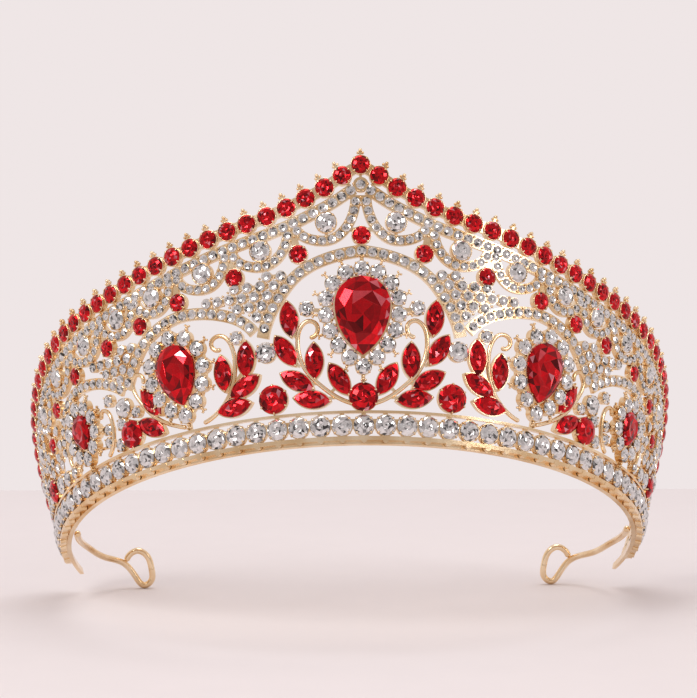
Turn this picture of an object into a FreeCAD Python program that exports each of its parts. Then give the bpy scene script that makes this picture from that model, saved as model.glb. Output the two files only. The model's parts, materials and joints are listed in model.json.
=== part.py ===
"""Rhinestone bridal crown: a flared half-ring of gilt alloy castings set with clear and red crystals.

The wall is a cone. Everything on it is laid out on its flat pattern: s runs along the base arc
from the front centre, h runs up the slant of the wall, and out is the distance in front of the
settings' face. The right half is laid out by hand and the left half is its mirror image.
"""
import FreeCAD, Part
import math
import os

Vector = FreeCAD.Vector

# ---------------------------------------------------------------- driving dimensions, mm and degrees
RING_RADIUS = 66.7        # of the wall, at the middle of the base row
FLARE = 15.5              # the wall leans outward from the ring's axis
LEAN = 28.7               # the crown leans back, as it is worn: front raised, ends low

METAL = 1.1               # thickness of the cast settings
RAISE = 0.9               # medallions stand this far in front of the wall
SEAT = 0.12               # cups stand this far proud of the bands
CUP_RIM = 0.18            # metal showing round a stone

BASE_STONE = 4.15
BASE_PITCH = 4.42
BASE_RAIL = 2.75          # from the row's middle to the middle of each rail
RAIL = 0.55               # thickness of the rails
BASE_WEB = (-0.3, 1.35)   # lower and upper edge of the web between the cups
BASE_COUNT = 25           # stones on each side of the middle one
GALLERY_SEAM = 7          # the centre casting carries this many of them
TIP_STONES = [(114.0, 3.2), (116.8, 2.5)]  # place and size, past the regular row

BORDER_STONE = 3.8
BORDER_PITCH = 4.45
BORDER_COUNT = 31         # stones on each side of the apex stone
BORDER_SEAM = 10          # the centre casting carries this many of them
SPIKE = 3.3               # tip of the little outer prong above the stone's middle

PAVE_STONE = 1.8          # of the garlands
PAVE_PITCH = 1.97
PAVE_BAND = 2.15
LINE_STONE = 2.05         # of the border's pave line and the arches
LINE_PITCH = 2.28
LINE_BAND = 2.5
BORDER_GAP = 3.55         # from the border stones' line down to the pave line

LATTICE_STONE = 2.15
LATTICE_PITCH = 2.45
LATTICE_ROW = 2.3

DROP_STONE = 4.2
JUNCTION_STONE = 3.7
HALO_STONE = 2.9
HALO_SEAT = 3.45          # cup of a halo stone
HALO_GAP = 0.35           # between the pear's girdle and its halo stones
HALO_DROP = 0.25          # the halo sits this much lower than the pear
NAVETTE = (3.7, 7.7)
ROUND_RED = 5.7

BAND_THICK = 0.9          # flat strip behind the base row's lower rail
BAND_BOTTOM = -3.2        # its lower edge is flat, this far below the middle of the base row
BAND_TOP = -2.1
BAND_END = 111.0          # where the strip starts to taper
BAND_TIP = 120.0

WIRE = 1.5                # end wires and their loops
SCROLL_WIRE = 0.95

# ---------------------------------------------------------------- hand-laid pattern, right half
BORDER_LINE = [(0, 54.1), (3.3, 51.7), (6.4, 49.3), (9.8, 47.3), (13.3, 45.6), (16.9, 44.3), (24.3, 42.4),
               (31.7, 40.6), (39.2, 38.8), (46.8, 37.2), (54.5, 35.8), (62.3, 34.5), (70.1, 32.9),
               (77.9, 30.6), (85.4, 27.6), (92.6, 23.6), (99.5, 18.7), (106.2, 13.2), (113.0, 7.7),
               (116.0, 5.3)]

# each garland: inner end, lowest point, outer end
SWAGS = [((0.9, 47.6), (6.6, 38.3), (11.7, 41.9)),
         ((13.0, 41.7), (18.4, 34.0), (23.8, 38.6)),
         ((25.0, 38.3), (30.0, 31.4), (35.3, 35.9)),
         ((36.8, 35.7), (41.1, 29.2), (45.3, 33.6)),
         ((46.1, 33.5), (50.0, 27.2), (54.9, 31.7)),
         ((55.9, 31.6), (60.6, 25.3), (66.0, 29.8)),
         ((67.0, 29.4), (72.4, 22.6), (77.4, 26.8)),
         ((78.4, 26.4), (83.0, 18.3), (87.4, 22.6)),
         ((88.2, 22.2), (91.6, 12.2), (95.8, 17.3)),
         ((96.6, 16.8), (100.4, 7.6), (104.2, 10.6))]
CENTRE_SWAGS = 3

DROPS = [(6.2, 42.1), (18.3, 37.3), (29.8, 34.7), (41.0, 32.6), (50.1, 30.7), (60.5, 28.7),
         (72.5, 26.2), (82.9, 21.7), (91.6, 15.8), (100.2, 11.0)]
JUNCTIONS = [(11.4, 35.8), (23.6, 32.5), (35.5, 29.9), (44.6, 27.4), (53.9, 25.7),
             (65.3, 23.6), (75.4, 19.9), (81.8, 14.1)]
TOP_JUNCTION = (0, 39.2)

CENTRE_ARCH = [(0, 36.0), (6.5, 34.5), (11.9, 31.5), (15.5, 27.2), (17.9, 23.0), (19.2, 19.2)]
SIDE_ARCH = [(20.8, 20.6), (23.2, 23.3), (27.0, 25.3), (31.2, 26.5), (35.7, 26.9), (40.4, 25.9),
             (44.5, 23.7), (48.0, 20.0), (50.9, 15.6)]
OUTER_ARCH = [(52.0, 15.6), (54.9, 17.7), (58.6, 19.4), (62.6, 20.4), (66.5, 20.5), (70.2, 19.3),
              (73.4, 17.0), (75.6, 13.4), (76.8, 9.4)]

# upper edges of the two lattices
INNER_LATTICE_TOP = [(13.0, 33.2), (16.5, 32.6), (20.0, 30.6), (26.0, 29.9), (32.0, 29.2)]
OUTER_LATTICE_TOP = [(43.5, 25.3), (47.5, 25.2), (51.0, 24.0), (56.0, 24.2), (62.0, 23.2)]

CENTRE_PEAR = {"at": (0, 22.4), "width": 11.4, "height": 16.3, "turn": 0, "halo": 16}
SIDE_PEAR = {"at": (37.6, 14.8), "width": 9.2, "height": 12.9, "turn": 5, "halo": 12}
OUTER_PEAR = {"at": (66.6, 11.2), "width": 6.5, "height": 7.8, "turn": 5, "halo": 10}

# marquise stones: middle, and the angle of the long axis from the s direction
CENTRE_NAVETTES = [((4.7, 9.5), 60), ((9.4, 13.5), 91), ((13.0, 9.6), 29),
                   ((10.2, 5.6), 8), ((14.9, 16.0), 60), ((13.8, 22.5), 86)]
SIDE_NAVETTES = [((22.9, 15.4), 96), ((27.9, 13.2), 90), ((23.6, 9.8), 151), ((26.2, 5.8), 173)]
OUTER_NAVETTES = [((45.1, 11.0), 58), ((46.0, 5.9), 31)]

CENTRE_SCROLL = [(1.8, 4.4), (5.3, 5.9), (8.7, 8.7), (11.2, 11.8), (12.3, 15.0), (12.4, 18.4),
                 (11.6, 20.8), (10.1, 21.8), (8.7, 21.0), (8.6, 19.4), (9.7, 18.4)]
SIDE_SCROLL = [(33.0, 4.0), (29.8, 5.6), (27.2, 8.4), (25.7, 11.8), (25.2, 15.6), (25.7, 18.9),
               (27.0, 20.8), (28.7, 21.0), (29.7, 19.9), (29.3, 18.6), (28.2, 18.2)]
OUTER_SCROLL = [(38.0, 4.0), (41.5, 5.5), (45.2, 8.2), (47.6, 11.4), (49.1, 14.6), (48.9, 16.8),
                (47.7, 17.7), (46.5, 17.1), (46.3, 15.8)]
LEAF_SCROLL = [(59.6, 3.8), (57.4, 6.6), (56.9, 10.0), (57.6, 12.6), (59.0, 13.4), (60.0, 12.3)]
END_SCROLL = [(73.6, 4.4), (75.2, 7.2), (75.0, 10.4), (73.9, 12.4)]

RED_ROUNDS = [(0, 5.8, ROUND_RED), (18.0, 6.3, ROUND_RED), (51.5, 6.0, ROUND_RED), (89.0, 5.9, 5.2)]
ACCENTS = [(18.8, 16.1, 4.0), (24.4, 20.0, 2.6), (10.4, 24.4, 2.9), (49.3, 10.2, 2.3),
           (52.6, 12.0, 4.0), (53.9, 8.9, 2.5), (55.3, 4.7, 2.6), (56.6, 14.8, 2.4),
           (58.3, 9.0, 2.2), (58.8, 6.3, 2.2), (74.2, 4.8, 2.4), (78.4, 4.9, 3.2),
           (82.8, 5.1, 3.8), (94.0, 5.4, 3.0), (97.8, 5.2, 2.6)]
END_STONES = [(78.6, 16.2), (78.2, 12.8), (80.4, 10.6), (79.2, 8.5), (82.6, 8.9), (84.9, 11.0),
              (87.0, 13.2), (86.2, 8.9), (88.3, 10.9), (92.0, 9.0), (95.4, 9.4), (101.0, 5.9),
              (104.2, 6.2), (107.5, 5.4), (112.6, 4.6)]
# bars from the end panel's stones to the pieces round them
END_LINKS = [((78.6, 16.2), (77.0, 17.8)), ((78.6, 16.2), (80.8, 14.8)), ((87.0, 13.2), (89.2, 13.8)),
             ((95.4, 9.4), (96.6, 12.4)), ((95.4, 9.4), (98.2, 8.6)), ((104.2, 6.2), (105.2, 10.2)),
             ((112.6, 4.6), (116.8, 4.2)), ((116.8, 4.2), (117.0, 8.6)), ((116.8, 4.2), (117.6, 1.6))]

# end wire: positions (x, y, z) from the ring's middle, then its upright loop (inward, up) from the last one
TAIL = [(61.7, -11.3, -2.6), (61.6, -3.5, -1.6), (59.9, 5.0, -0.5), (56.9, 12.2, 0.0), (52.2, 18.6, 0.0)]
LOOP = [(2.0, -2.7), (3.9, -4.5), (5.4, -3.6), (5.6, -0.6), (4.6, 2.4), (2.4, 3.7), (0.5, 2.8), (-0.1, 1.9)]

SIN_FLARE = math.sin(math.radians(FLARE))
COS_FLARE = math.cos(math.radians(FLARE))


# ---------------------------------------------------------------- the wall's own coordinates
def spread(h):
    """How much wider than at the base a step along s is at height h."""
    return 1 + h * SIN_FLARE / RING_RADIUS


def axes(s):
    """Unit vectors along s, up the wall and out of the wall."""
    t = s / RING_RADIUS
    along = Vector(math.cos(t), math.sin(t), 0)
    up = Vector(SIN_FLARE * math.sin(t), -SIN_FLARE * math.cos(t), COS_FLARE)
    return along, up, along.cross(up)


def wall(s, h, out=0.0):
    """Point of the wall."""
    t = s / RING_RADIUS
    radius = RING_RADIUS + h * SIN_FLARE + out * COS_FLARE
    return Vector(radius * math.sin(t), -radius * math.cos(t), h * COS_FLARE - out * SIN_FLARE)


def curve(points, step=0.5):
    """Smooth line through pattern points, as closely spaced pattern points."""
    spline = Part.BSplineCurve()
    spline.interpolate([Vector(s, h, 0) for s, h in points])
    count = max(8, int(spline.length() / step))
    return [(p.x, p.y) for p in spline.toShape().discretize(Number=count)]


def sideways(path, i):
    """Unit step (along s, along h) to the left of the path at its point i, in real millimetres."""
    a = path[max(0, i - 1)]
    b = path[min(len(path) - 1, i + 1)]
    ds = (b[0] - a[0]) * spread(path[i][1])
    dh = b[1] - a[1]
    size = math.hypot(ds, dh)
    return -dh / size, ds / size


def shifted(path, distance):
    """The path moved to its left by a distance."""
    moved = []
    for i, (s, h) in enumerate(path):
        ds, dh = sideways(path, i)
        moved.append((s + ds * distance / spread(h), h + dh * distance))
    return moved


def length(path):
    """Running real length at each point of a path."""
    total = [0.0]
    for a, b in zip(path, path[1:]):
        total.append(total[-1] + math.hypot((b[0] - a[0]) * spread(a[1]), b[1] - a[1]))
    return total


def at_lengths(path, wanted):
    """Points of the path at the wanted running lengths."""
    total = length(path)
    found = []
    i = 0
    for want in wanted:
        while i < len(total) - 2 and total[i + 1] < want:
            i += 1
        f = (want - total[i]) / (total[i + 1] - total[i])
        a, b = path[i], path[i + 1]
        found.append((a[0] + (b[0] - a[0]) * f, a[1] + (b[1] - a[1]) * f))
    return found


def evenly(path, pitch, margin=0.5):
    """Points along the path, as many as fit, starting and ending a margin of a pitch from its ends."""
    total = length(path)[-1]
    count = max(1, round((total - 2 * margin * pitch) / pitch) + 1)
    start = (total - (count - 1) * pitch) / 2
    return at_lengths(path, [start + pitch * i for i in range(count)])


def height_on(path, s):
    """Height of a path at s, or None beyond its ends."""
    for a, b in zip(path, path[1:]):
        if min(a[0], b[0]) <= s <= max(a[0], b[0]) and a[0] != b[0]:
            return a[1] + (b[1] - a[1]) * (s - a[0]) / (b[0] - a[0])
    return None


# ---------------------------------------------------------------- solids on the wall
def placed(shape, s, h, out=0.0, turn=0.0):
    """Moves a shape made about the origin, facing +Z, onto the wall."""
    along, up, normal = axes(s)
    shape = shape.copy()
    shape.rotate(Vector(0, 0, 0), Vector(0, 0, 1), turn)
    base = FreeCAD.Matrix(along.x, up.x, normal.x, 0, along.y, up.y, normal.y, 0,
                          along.z, up.z, normal.z, 0, 0, 0, 0, 1)
    shape.Placement = FreeCAD.Placement(base).multiply(shape.Placement)
    shape.translate(wall(s, h, out))
    return shape


def band(path, width, back=0.1 - METAL, front=0.0):
    """Strip of metal that follows a path on the wall."""
    count = max(4, int(length(path)[-1] / 1.6))
    total = length(path)[-1]
    spots = at_lengths(path, [total * i / count for i in range(count + 1)])
    sections = []
    for i, (s, h) in enumerate(spots):
        ds, dh = sideways(spots, i)
        along, up, _ = axes(s)
        across = (along * ds + up * dh) * (width / 2)
        inner, outer = wall(s, h, back), wall(s, h, front)
        corners = [inner - across, inner + across, outer + across, outer - across]
        sections.append(Part.makePolygon(corners + corners[:1]))
    return Part.makeLoft(sections, True, False)


def ring_piece(s0, s1, h0, h1, back, front):
    """Part of the ring itself: a strip between two heights, turned about the ring's axis."""
    corners = [wall(s0, h0, back), wall(s0, h0, front), wall(s0, h1, front), wall(s0, h1, back)]
    face = Part.Face(Part.makePolygon(corners + corners[:1]))
    return face.revolve(Vector(0, 0, 0), Vector(0, 0, 1), math.degrees((s1 - s0) / RING_RADIUS))


def disc(s, h, diameter, back=-METAL, front=SEAT):
    """Round seat under a stone."""
    return placed(Part.makeCylinder(diameter / 2, front - back), s, h, back)


def bar(a, b, width, back=0.25 - METAL, front=-0.15):
    """Straight bar between two pattern points."""
    s, h = (a[0] + b[0]) / 2, (a[1] + b[1]) / 2
    ds, dh = (b[0] - a[0]) * spread(h), b[1] - a[1]
    size = math.hypot(ds, dh)
    box = Part.makeBox(size, width, front - back, Vector(-size / 2, -width / 2, 0))
    return placed(box, s, h, back, math.degrees(math.atan2(dh, ds)))


def wire_along(points, diameter):
    """Round wire through points in space, with round ends."""
    spline = Part.BSplineCurve()
    spline.interpolate(points)
    path = Part.Wire(spline.toShape())
    start = spline.tangent(spline.FirstParameter)[0]
    ring = Part.Wire(Part.makeCircle(diameter / 2, points[0], start))
    rod = path.makePipeShell([ring], True, True)
    balls = [Part.makeSphere(diameter / 2, p) for p in (points[0], points[-1])]
    return rod.multiFuse(balls)


def scroll(points, out=-0.2):
    """Thin wire scroll lying on the wall."""
    return wire_along([wall(s, h, out) for s, h in points], SCROLL_WIRE)


def pear_wire(width, height, grow=0.0, lift=0.0):
    """Outline of a pear-shaped stone, its round end up, made of a half circle and two arcs."""
    a = width / 2
    d = height - a
    sweep = (a * a + d * d) / (2 * a)
    top, side = a + grow, sweep + grow
    half = math.sqrt(side * side - (sweep - a) ** 2)
    y0 = (d - a) / 2
    crown, right, left = Vector(0, y0 + top, lift), Vector(top, y0, lift), Vector(-top, y0, lift)
    tip = Vector(0, y0 - half, lift)
    bend = math.atan2(half, sweep - a) / 2
    lower = Vector(a - sweep + side * math.cos(bend), y0 - side * math.sin(bend), lift)
    edges = [Part.Arc(right, crown, left).toShape(),
             Part.Arc(left, Vector(-lower.x, lower.y, lift), tip).toShape(),
             Part.Arc(tip, lower, right).toShape()]
    return Part.Wire(edges)


def navette_wire(width, long, grow=0.0, lift=0.0):
    """Outline of a marquise stone, its points along X, made of two arcs."""
    a, b = long / 2 + grow * 1.3, width / 2 + grow
    ends = [Vector(-a, 0, lift), Vector(a, 0, lift)]
    return Part.Wire([Part.Arc(ends[0], Vector(0, b, lift), ends[1]).toShape(),
                      Part.Arc(ends[1], Vector(0, -b, lift), ends[0]).toShape()])


def plate(outline, thickness=METAL):
    """Flat plate inside an outline."""
    return Part.Face(outline).extrude(Vector(0, 0, thickness))


def cut_stone(girdle, waist, table):
    """Stone in front of its seat: upright girdle, then a slope in to the table."""
    return Part.makeLoft([girdle, waist, table], True, True)


def round_stone(diameter):
    """Round stone about the origin, its table up."""
    r = diameter / 2
    girdle = Part.makeCylinder(r, 0.1 * diameter)
    slope = Part.makeCone(r, 0.62 * r, 0.22 * diameter, Vector(0, 0, 0.1 * diameter))
    return girdle.fuse(slope)


ROUND_STONES = {}


def stone(s, h, diameter, out=SEAT):
    """Round stone on the wall."""
    if diameter not in ROUND_STONES:
        ROUND_STONES[diameter] = round_stone(diameter)
    return placed(ROUND_STONES[diameter], s, h, out)


# ---------------------------------------------------------------- both halves, and writing the nodes
NODES = {}
LEAST_SHARE = 0.6         # of its pieces' volumes, which overlap a little, that a sound casting keeps


def mirrored(shape):
    """The same shape on the left half."""
    return shape.mirror(Vector(0, 0, 0), Vector(1, 0, 0))


def complete(whole, shapes):
    """Whether a fused shape is one solid that has lost none of its pieces."""
    share = whole.Volume / sum(shape.Volume for shape in shapes)
    return len(whole.Solids) == 1 and share > LEAST_SHARE


def joined(shapes):
    """One solid out of overlapping ones."""
    if len(shapes) == 1:
        return shapes[0]
    whole = shapes[0].multiFuse(shapes[1:])
    if not complete(whole, shapes):
        whole = shapes[-1]
        for shape in shapes[:-1]:
            whole = whole.fuse(shape)
    if not complete(whole, shapes):
        raise ValueError(f"a casting near {shapes[0].BoundBox.Center} does not join")
    return whole.Solids[0]


def one(node, shapes):
    """A single cast piece."""
    NODES[node] = joined(shapes)


def pair(node, shapes):
    """A cast piece on the right, and its mirror image on the left."""
    solid = joined(shapes)
    NODES[node + "_right"] = solid
    NODES[node + "_left"] = mirrored(solid)


def group(node, shapes, middle=()):
    """Separate stones of both halves, and those on the middle line."""
    NODES[node] = Part.makeCompound(list(middle) + shapes + [mirrored(s) for s in shapes])


# ---------------------------------------------------------------- base: strip, gallery, end wires
def level(z, out):
    """Pattern height at which the wall, that far out, is at height z above the base plane."""
    return (z + out * SIN_FLARE) / COS_FLARE


def headband():
    """Flat strip behind the base row, its lower edge level, tapered to a point at each end."""
    back, front = -METAL - BAND_THICK, -METAL
    tip_height = 0.6
    middle = (BAND_BOTTOM + BAND_TOP) / 2
    steps = 80
    sections = []
    for i in range(steps + 1):
        s = BAND_TIP * (2 * i / steps - 1)
        taper = max(0.0, (abs(s) - BAND_END) / (BAND_TIP - BAND_END))
        low = BAND_BOTTOM + (middle - tip_height / 2 - BAND_BOTTOM) * taper
        high = BAND_TOP + (middle + tip_height / 2 - BAND_TOP) * taper
        corners = [wall(s, level(low - 0.5, back), back), wall(s, high, back),
                   wall(s, high, front), wall(s, level(low - 0.5, front), front)]
        sections.append(Part.makePolygon(corners + corners[:1]))
    size = 2 * RING_RADIUS
    below = Part.makeBox(2 * size, 2 * size, size, Vector(-size, -size, BAND_BOTTOM - size))
    NODES["headband_strip"] = Part.makeLoft(sections, True, True).cut(below).Solids[0]


def gallery(first, last):
    """Two rails with a cup for each base stone between them, a web between the cups, and short posts."""
    s0 = (first - 0.5) * BASE_PITCH
    s1 = (last + 0.5) * BASE_PITCH
    cup = BASE_STONE + 2 * CUP_RIM
    shapes = [ring_piece(s0, s1, -BASE_RAIL - RAIL / 2, -BASE_RAIL + RAIL, -METAL, 0.3),
              ring_piece(s0, s1, BASE_RAIL - RAIL / 2, BASE_RAIL + RAIL / 2, -METAL, 0.3),
              ring_piece(s0, s1, *BASE_WEB, 0.2 - METAL, -0.3)]
    for k in range(first, last + 1):
        s = k * BASE_PITCH
        shapes.append(disc(s, 0, cup, 0.1 - METAL))
        shapes.append(bar((s, cup / 2 - 0.4), (s, BASE_RAIL), 0.9))
    for k in range(first, last + 1):
        shapes.append(disc(k * BASE_PITCH, -BASE_RAIL - 0.1, 1.3, 0.15 - METAL, 0.36))
    return shapes


def gallery_tip():
    """The end of the gallery: two rails that draw together over smaller stones."""
    s0 = (BASE_COUNT + 0.5) * BASE_PITCH - 0.2
    shapes = [disc(s, 0, d + 2 * CUP_RIM, 0.1 - METAL) for s, d in TIP_STONES]
    shapes.append(bar((s0, 0), (BAND_TIP - 1.6, 0), 0.9, 0.1 - METAL, -0.5))
    for side in (-1, 1):
        shapes.append(bar((s0, side * BASE_RAIL), (BAND_TIP - 1.8, side * 0.9), RAIL, 0.1 - METAL, 0.1))
    return shapes


def base():
    """The base row in its three castings, and its stones."""
    one("base_gallery_centre", gallery(-GALLERY_SEAM, GALLERY_SEAM))
    pair("base_gallery", gallery(GALLERY_SEAM + 1, BASE_COUNT) + gallery_tip())
    stones = [stone(k * BASE_PITCH, 0, BASE_STONE) for k in range(1, BASE_COUNT + 1)]
    stones += [stone(s, 0, d) for s, d in TIP_STONES]
    group("base_row_crystals", stones, [stone(0, 0, BASE_STONE)])


def end_wire():
    """Wire soldered inside the strip near its end, turned up into a loop for hairpins."""
    lean = math.radians(LEAN)
    rise = Vector(0, -math.sin(lean), math.cos(lean))
    points = [Vector(*place) for place in TAIL]
    last = points[-1]
    points += [last + Vector(-inward, 0, 0) + rise * up for inward, up in LOOP]
    NODES["end_wire_right"] = wire_along(points, WIRE)
    NODES["end_wire_left"] = mirrored(NODES["end_wire_right"])


# ---------------------------------------------------------------- top border
def border_points():
    """Middles of the border stones on the right half, apex first."""
    path = curve(BORDER_LINE)
    return path, at_lengths(path, [k * BORDER_PITCH for k in range(BORDER_COUNT + 1)])


def pave_line(path):
    """The pave line below the border, from the middle of the crown to the end of the border."""
    return [p for p in shifted(path, -BORDER_GAP) if p[0] >= 0]


def border_run(path, points, s0, s1):
    """Stretch of border from s0 to s1: cup row, pave channel below it, and a prong at each stone."""
    line = [p for p in path if s0 <= p[0] <= s1]
    shapes = [band(line, 2.4)]
    low = [p for p in pave_line(path) if s0 <= p[0] <= s1]
    shapes.append(band(low, LINE_BAND))
    for k, (s, h) in enumerate(points):
        if not s0 <= s <= s1 or k == 0:
            continue
        i = min(range(len(path)), key=lambda j: abs(path[j][0] - s))
        ds, dh = sideways(path, i)
        foot = (s - ds * BORDER_GAP / spread(h), h - dh * BORDER_GAP)
        tip = (s + ds * SPIKE / spread(h), h + dh * SPIKE)
        shapes.append(disc(s, h, BORDER_STONE + 2 * CUP_RIM))
        shapes.append(bar(foot, tip, 0.55))
    return shapes


def border():
    """The border in its three castings, its red stones and its pave."""
    path, points = border_points()
    seam = (points[BORDER_SEAM][0] + points[BORDER_SEAM + 1][0]) / 2
    half = border_run(path, points, 0.9, seam)
    line = pave_line(path)
    apex, chevron = points[0][1], line[0][1]
    top = [disc(0, apex, BORDER_STONE + 2 * CUP_RIM),
           bar((0, chevron), (0, apex + SPIKE), 0.55),
           disc(0, chevron, LINE_BAND + 0.7, 0.15 - METAL, 0.03),
           bar((-1.7, apex - 1.1), (1.7, apex - 1.1), 1.4)]
    right = joined(half)
    one("top_border_centre", [right, mirrored(right)] + top)
    pair("top_border", border_run(path, points, seam + 0.15, points[-1][0] + 1.9))
    group("border_crystals", [stone(s, h, BORDER_STONE) for s, h in points[1:]],
          [stone(*points[0], BORDER_STONE)])
    count = int((length(line)[-1] - LINE_PITCH) / LINE_PITCH)
    pave = at_lengths(line, [k * LINE_PITCH for k in range(count)])
    group("border_pave_crystals", [stone(*place, LINE_STONE, 0) for place in pave[1:]],
          [stone(0, chevron, LINE_STONE, 0.03)])


# ---------------------------------------------------------------- garlands under the border
def swag_path(ends):
    """A garland: a U from its inner end, round its lowest point, to its outer end."""
    (s0, h0), (sm, hm), (s1, h1) = ends
    points = []
    for inner, height in (((s0 - sm), (h0 - hm)), ((s1 - sm), (h1 - hm))):
        quarter = []
        for i in range(13):
            a = math.radians(90 * i / 12)
            quarter.append((sm + inner * math.sin(a), hm + height * (1 - math.cos(a))))
        points.append(quarter)
    return points[0][::-1] + points[1][1:]


def swag_run(first, last):
    """Castings for the garlands from first up to last, with the seats that hang on them."""
    shapes = []
    for ends, (s, h) in zip(SWAGS[first:last], DROPS[first:last]):
        shapes.append(band(swag_path(ends), PAVE_BAND))
        shapes.append(disc(s, h, DROP_STONE + 2 * CUP_RIM))
        shapes.append(bar((s, ends[1][1]), (s, h + DROP_STONE / 2 + 0.9), 0.7))
    for (s, h), ends, after in zip(JUNCTIONS[first:last], SWAGS[first:last], SWAGS[first + 1:]):
        gap = (ends[2][0] + after[0][0]) / 2
        top = (ends[2][1] + after[0][1]) / 2 - 1.0
        shapes.append(disc(s, h, JUNCTION_STONE + 2 * CUP_RIM))
        shapes.append(bar((s, h), (gap, top), 1.5))
        shapes.append(bar((ends[2][0] - 0.8, top), (after[0][0] + 0.8, top), 1.3, 0.35 - METAL, -0.25))
    return shapes


def swags():
    """All garlands, their pave, the stones they hold and the red stones between them."""
    s, h = TOP_JUNCTION
    right = joined(swag_run(0, CENTRE_SWAGS))
    middle = [disc(s, h, JUNCTION_STONE + 2 * CUP_RIM), bar((-3.2, h + 1.3), (3.2, h + 1.3), 0.8),
              bar((-1.7, h + 7.9), (1.7, h + 7.9), 1.2)]
    one("swags_centre", [right, mirrored(right)] + middle)
    pair("swags", swag_run(CENTRE_SWAGS, len(SWAGS)))
    pave = [stone(*p, PAVE_STONE, 0) for ends in SWAGS for p in evenly(swag_path(ends), PAVE_PITCH, 0.8)]
    group("swag_pave_crystals", pave)
    group("swag_drop_crystals", [stone(s, h, DROP_STONE) for s, h in DROPS])
    group("junction_crystals", [stone(s, h, JUNCTION_STONE) for s, h in JUNCTIONS],
          [stone(*TOP_JUNCTION, JUNCTION_STONE)])


# ---------------------------------------------------------------- arches and lattices
def arches():
    """Pave arches over the five medallions."""
    centre, side, outer = curve(CENTRE_ARCH), curve(SIDE_ARCH), curve(OUTER_ARCH)
    across = [(-s, h) for s, h in centre[:0:-1]] + centre
    one("centre_arch", [band(across, LINE_BAND)])
    pair("side_arch", [band(side, LINE_BAND)])
    pair("outer_arch", [band(outer, LINE_BAND)])
    total = length(centre)[-1]
    count = int((total - 1) / LINE_PITCH)
    spots = at_lengths(centre, [LINE_PITCH * (i + 1) for i in range(count)])
    spots += evenly(side, LINE_PITCH) + evenly(outer, LINE_PITCH)
    stones = [stone(*p, LINE_STONE, 0) for p in spots]
    group("arch_pave_crystals", stones, [stone(0, 36.0, LINE_STONE, 0)])
    return centre, side, outer


def lattice_points(guide, floor, top, rows):
    """Stones of a lattice, in rows that follow its guide arch, between its floor arch and its top edge."""
    spots = []
    for row in range(1, rows + 1):
        path = shifted(guide, LATTICE_ROW * row)
        total = length(path)[-1]
        start = LATTICE_PITCH / 2 * (row % 2)
        count = int((total - start) / LATTICE_PITCH)
        for s, h in at_lengths(path, [start + LATTICE_PITCH * i for i in range(count + 1)]):
            ceiling = height_on(top, s)
            ground = height_on(floor, s)
            if ceiling is None or h > ceiling:
                continue
            if ground is None or h < ground + 1.9:
                continue
            if all(math.hypot((s - a) * spread(h), h - b) > 0.82 * LATTICE_PITCH for a, b in spots):
                spots.append((s, h))
    return spots


def lattice_web(spots, arches_beside):
    """Seats of a lattice, tied to their neighbours and to the arches by short bars."""
    shapes = [disc(s, h, LATTICE_STONE + 0.1) for s, h in spots]
    for i, a in enumerate(spots):
        for b in spots[i + 1:]:
            if math.hypot((a[0] - b[0]) * spread(a[1]), a[1] - b[1]) < 1.4 * LATTICE_PITCH:
                shapes.append(bar(a, b, 0.8))
        near = min(arches_beside, key=lambda p: math.hypot((a[0] - p[0]) * spread(a[1]), a[1] - p[1]))
        if math.hypot((a[0] - near[0]) * spread(a[1]), a[1] - near[1]) < 1.3 * LATTICE_ROW:
            shapes.append(bar(a, near, 0.8))
    return shapes


def lattices(centre, side, outer):
    """The two stone lattices of each half."""
    inner = lattice_points(centre, [(12, 20.0)] + side, INNER_LATTICE_TOP, 9)
    far = lattice_points(side, [(40, 15.0)] + outer, OUTER_LATTICE_TOP, 8)
    pair("inner_lattice", lattice_web(inner, centre + side))
    pair("outer_lattice", lattice_web(far, side + outer))
    group("lattice_crystals", [stone(s, h, LATTICE_STONE) for s, h in inner + far])


# ---------------------------------------------------------------- medallions
def halo_points(pear):
    """Places of the halo stones about a pear, as offsets from its middle, the first at its round end."""
    outline = pear_wire(pear["width"], pear["height"], HALO_STONE / 2 + HALO_GAP)
    top = max(outline.discretize(Number=721), key=lambda p: p.y)
    ring = outline.discretize(Number=pear["halo"] * 40 + 1)[:-1]
    start = min(range(len(ring)), key=lambda i: ring[i].distanceToPoint(top))
    return [ring[(start + 40 * i) % len(ring)] + Vector(0, -HALO_DROP, 0) for i in range(pear["halo"])]


def pear_spot(pear, point):
    """Pattern place of an offset on a medallion."""
    turn = math.radians(pear["turn"])
    x = point.x * math.cos(turn) + point.y * math.sin(turn)
    y = point.y * math.cos(turn) - point.x * math.sin(turn)
    s, h = pear["at"]
    return s + x / spread(h + y), h + y


def medallion(pear):
    """Setting of one medallion: a plate under the pear and a ring of seats."""
    s, h = pear["at"]
    wide, tall = pear["width"], pear["height"]
    body = plate(pear_wire(wide, tall, 0.35), METAL + RAISE - 0.4)
    outer, inner = plate(pear_wire(wide, tall, 2.4)), plate(pear_wire(wide, tall, 1.25))
    ring = outer.cut(inner)
    ring.translate(Vector(0, -HALO_DROP, 0))
    shapes = [placed(body, s, h, 0.2 - METAL, -pear["turn"]), placed(ring, s, h, 0.35 - METAL, -pear["turn"])]
    reach = wide / 2 + 2.0
    for a, b in ((Vector(0, tall / 2 - 1), Vector(0, tall / 2 + 2)), (Vector(0, -tall / 2 + 1), Vector(0, -tall / 2 - 2)),
                 (Vector(-reach, wide / 5), Vector(reach, wide / 5))):
        shapes.append(bar(pear_spot(pear, a), pear_spot(pear, b), 0.9, 0.3 - METAL, 0.1))
    for point in halo_points(pear):
        shapes.append(disc(*pear_spot(pear, point), HALO_SEAT, 0.5 - METAL, RAISE))
    return shapes


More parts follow.
